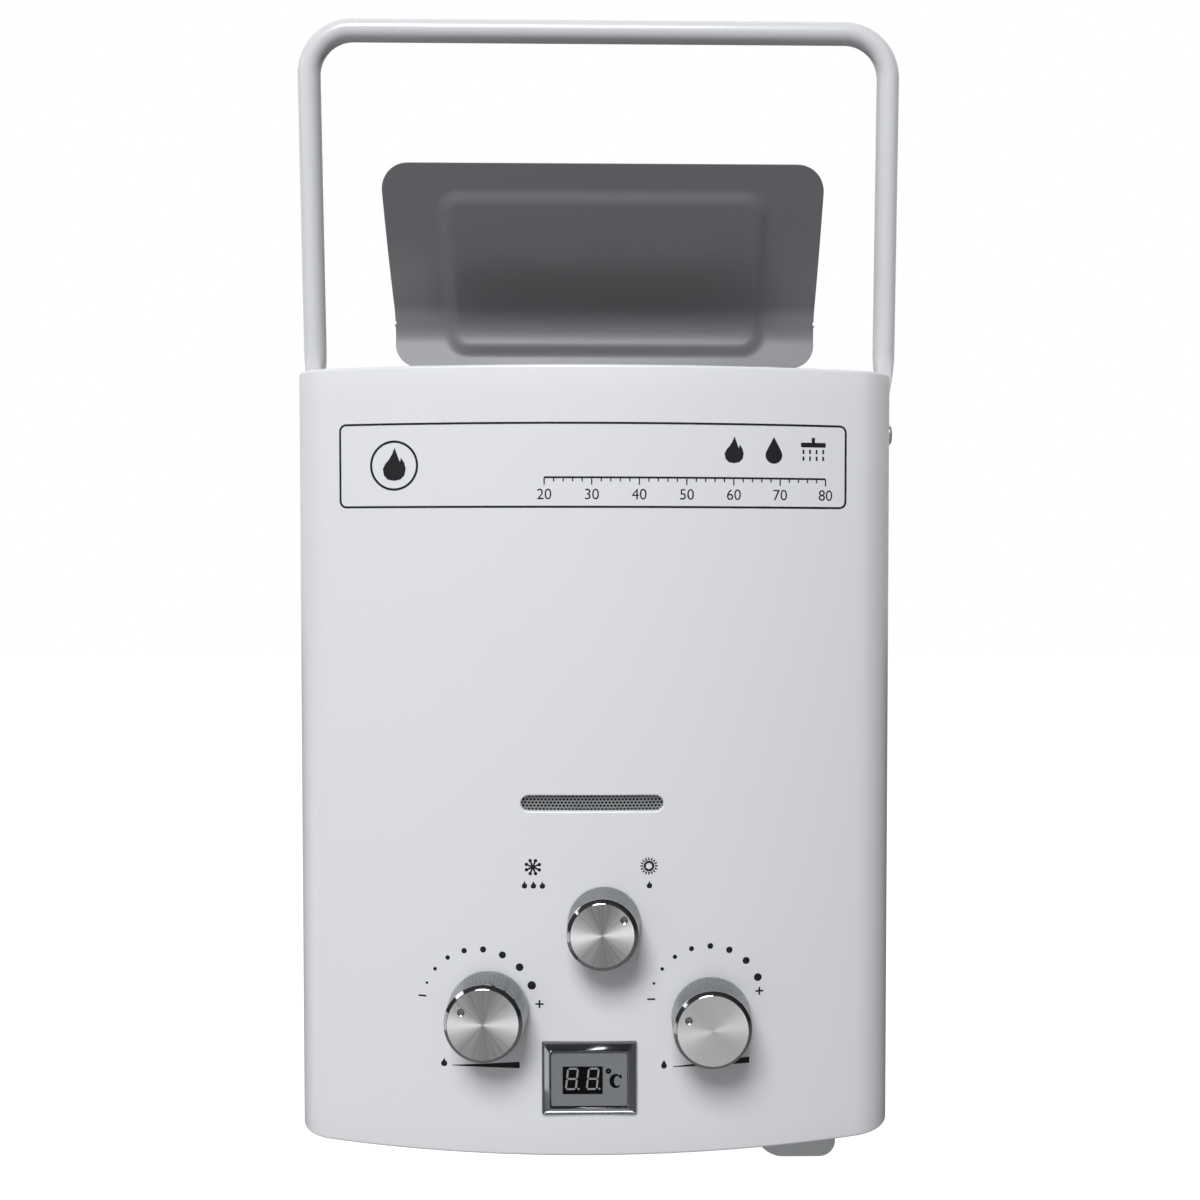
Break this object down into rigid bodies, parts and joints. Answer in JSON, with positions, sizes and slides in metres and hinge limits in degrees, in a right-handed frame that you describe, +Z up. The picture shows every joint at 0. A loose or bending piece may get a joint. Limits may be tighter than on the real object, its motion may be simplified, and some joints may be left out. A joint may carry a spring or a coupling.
{
  "type": "portable gas water heater",
  "caption": "Wall-hung portable gas water heater with a bowed sheet cover, control knobs, temperature display, flue deflector, battery bay and swinging carrying handle.",
  "frame": {"origin": "wall face of the back plate, on its centre line, at the height of the two hanging keyholes", "axes": "+X to the right seen from the front, +Y back into the wall, +Z up"},
  "size_m": [0.314, 0.1465, 0.5821],
  "materials": {
    "white_enamel": "smooth semi-gloss powder coat",
    "zinc_sheet": "galvanised, matt",
    "deflector_steel": "satin rolled steel",
    "copper": "drawn copper, slightly dull",
    "burner_steel": "pressed steel, matt",
    "cast_alloy": "die-cast, satin",
    "brass": "turned brass",
    "bright_screw": "bright zinc plate",
    "solenoid_coat": "dark lacquer",
    "spun_aluminium": "spun face, bright bevel",
    "knob_insert": "moulded",
    "bezel_chrome": "polished",
    "window": "clear",
    "display_grey": "dark grey panel",
    "grille_steel": "dark perforated sheet",
    "black_plastic": "moulded",
    "plunger_red": "moulded",
    "ceramic": "white ceramic sleeve",
    "thermostat": "phenolic body",
    "grey_plastic": "fine moulded grain",
    "cell_jacket": "plain jacket",
    "handle_enamel": "glossy white enamel",
    "drain_plastic": "fluted grip"
  },
  "bodies": {
    "casing": {"front_cover": "white_enamel", "back_plate": "zinc_sheet", "top_panel": "zinc_sheet", "bottom_panel": "zinc_sheet", "stack_brackets": "zinc_sheet", "flue_hood": "zinc_sheet", "flue_deflector": "deflector_steel", "exchanger_core": "copper", "return_bends": "copper", "combustion_chamber": "copper", "chamber_coil": "copper", "cold_pipe": "copper", "hot_pipe": "copper", "burner_frame": "burner_steel", "burner_blades": "burner_steel", "gas_manifold": "cast_alloy", "gas_valve": "cast_alloy", "season_valve": "cast_alloy", "injectors": "brass", "water_valve": "brass", "water_valve_cover": "brass", "gas_inlet_nipple": "brass", "cold_inlet_nipple": "brass", "hot_outlet_nipple": "brass", "lock_nuts": "brass", "casing_screws": "bright_screw", "valve_screws": "bright_screw", "handle_bolts": "bright_screw", "handle_nuts": "bright_screw", "battery_contacts": "bright_screw", "inlet_filter": "bright_screw", "gas_solenoid": "solenoid_coat", "display_bezel": "bezel_chrome", "display_lens": "window", "display_module": "display_grey", "viewing_grille": "grille_steel", "igniter_module": "black_plastic", "microswitch": "black_plastic", "handle_spacers": "black_plastic", "spark_electrode": "ceramic", "flame_sensor": "ceramic", "overheat_switch": "thermostat", "battery_box": "grey_plastic", "dry_cells": "cell_jacket"},
    "gas_control": {"gas_knob": "spun_aluminium", "gas_knob_core": "knob_insert", "gas_stem": "brass"},
    "water_control": {"water_knob": "spun_aluminium", "water_knob_core": "knob_insert", "water_stem": "brass"},
    "season_control": {"season_knob": "spun_aluminium", "season_knob_core": "knob_insert", "season_stem": "brass"},
    "carrying_handle": {"handle": "handle_enamel"},
    "battery_door": {"battery_lid": "grey_plastic", "lid_contact_strip": "bright_screw"},
    "diaphragm_rod": {"push_rod": "bright_screw", "switch_plunger": "plunger_red"},
    "drain": {"drain_plug": "drain_plastic"}
  },
  "joints": [
    {"name": "gas_knob_turn", "type": "hinge", "parent": "casing", "child": "gas_control", "pos_m": [-0.0482, -0.126, -0.2697], "axis": [0, 1, 0], "range_deg": [-9, 127]},
    {"name": "water_knob_turn", "type": "hinge", "parent": "casing", "child": "water_control", "pos_m": [0.0556, -0.126, -0.273], "axis": [0, 1, 0], "range_deg": [-2, 132]},
    {"name": "season_knob_turn", "type": "hinge", "parent": "casing", "child": "season_control", "pos_m": [0.0057, -0.126, -0.2294], "axis": [0, 1, 0], "range_deg": [-107, 0]},
    {"name": "handle_swing", "type": "hinge", "parent": "casing", "child": "carrying_handle", "pos_m": [0, -0.028, 0.006], "axis": [1, 0, 0], "range_deg": [-140, 145]},
    {"name": "battery_lid_hinge", "type": "hinge", "parent": "casing", "child": "battery_door", "pos_m": [0.1226, -0.0425, -0.3426], "axis": [0, -1, 0], "range_deg": [0, 95]},
    {"name": "push_rod_slide", "type": "slide", "parent": "casing", "child": "diaphragm_rod", "axis": [-1, 0, 0], "range_m": [0, 0.003], "stiffness_N_per_m": 1500},
    {"name": "drain_plug_turn", "type": "hinge", "parent": "casing", "child": "drain", "pos_m": [0.03, -0.065, -0.345], "axis": [0, 0, 1], "range_deg": [0, 1080]}
  ]
}
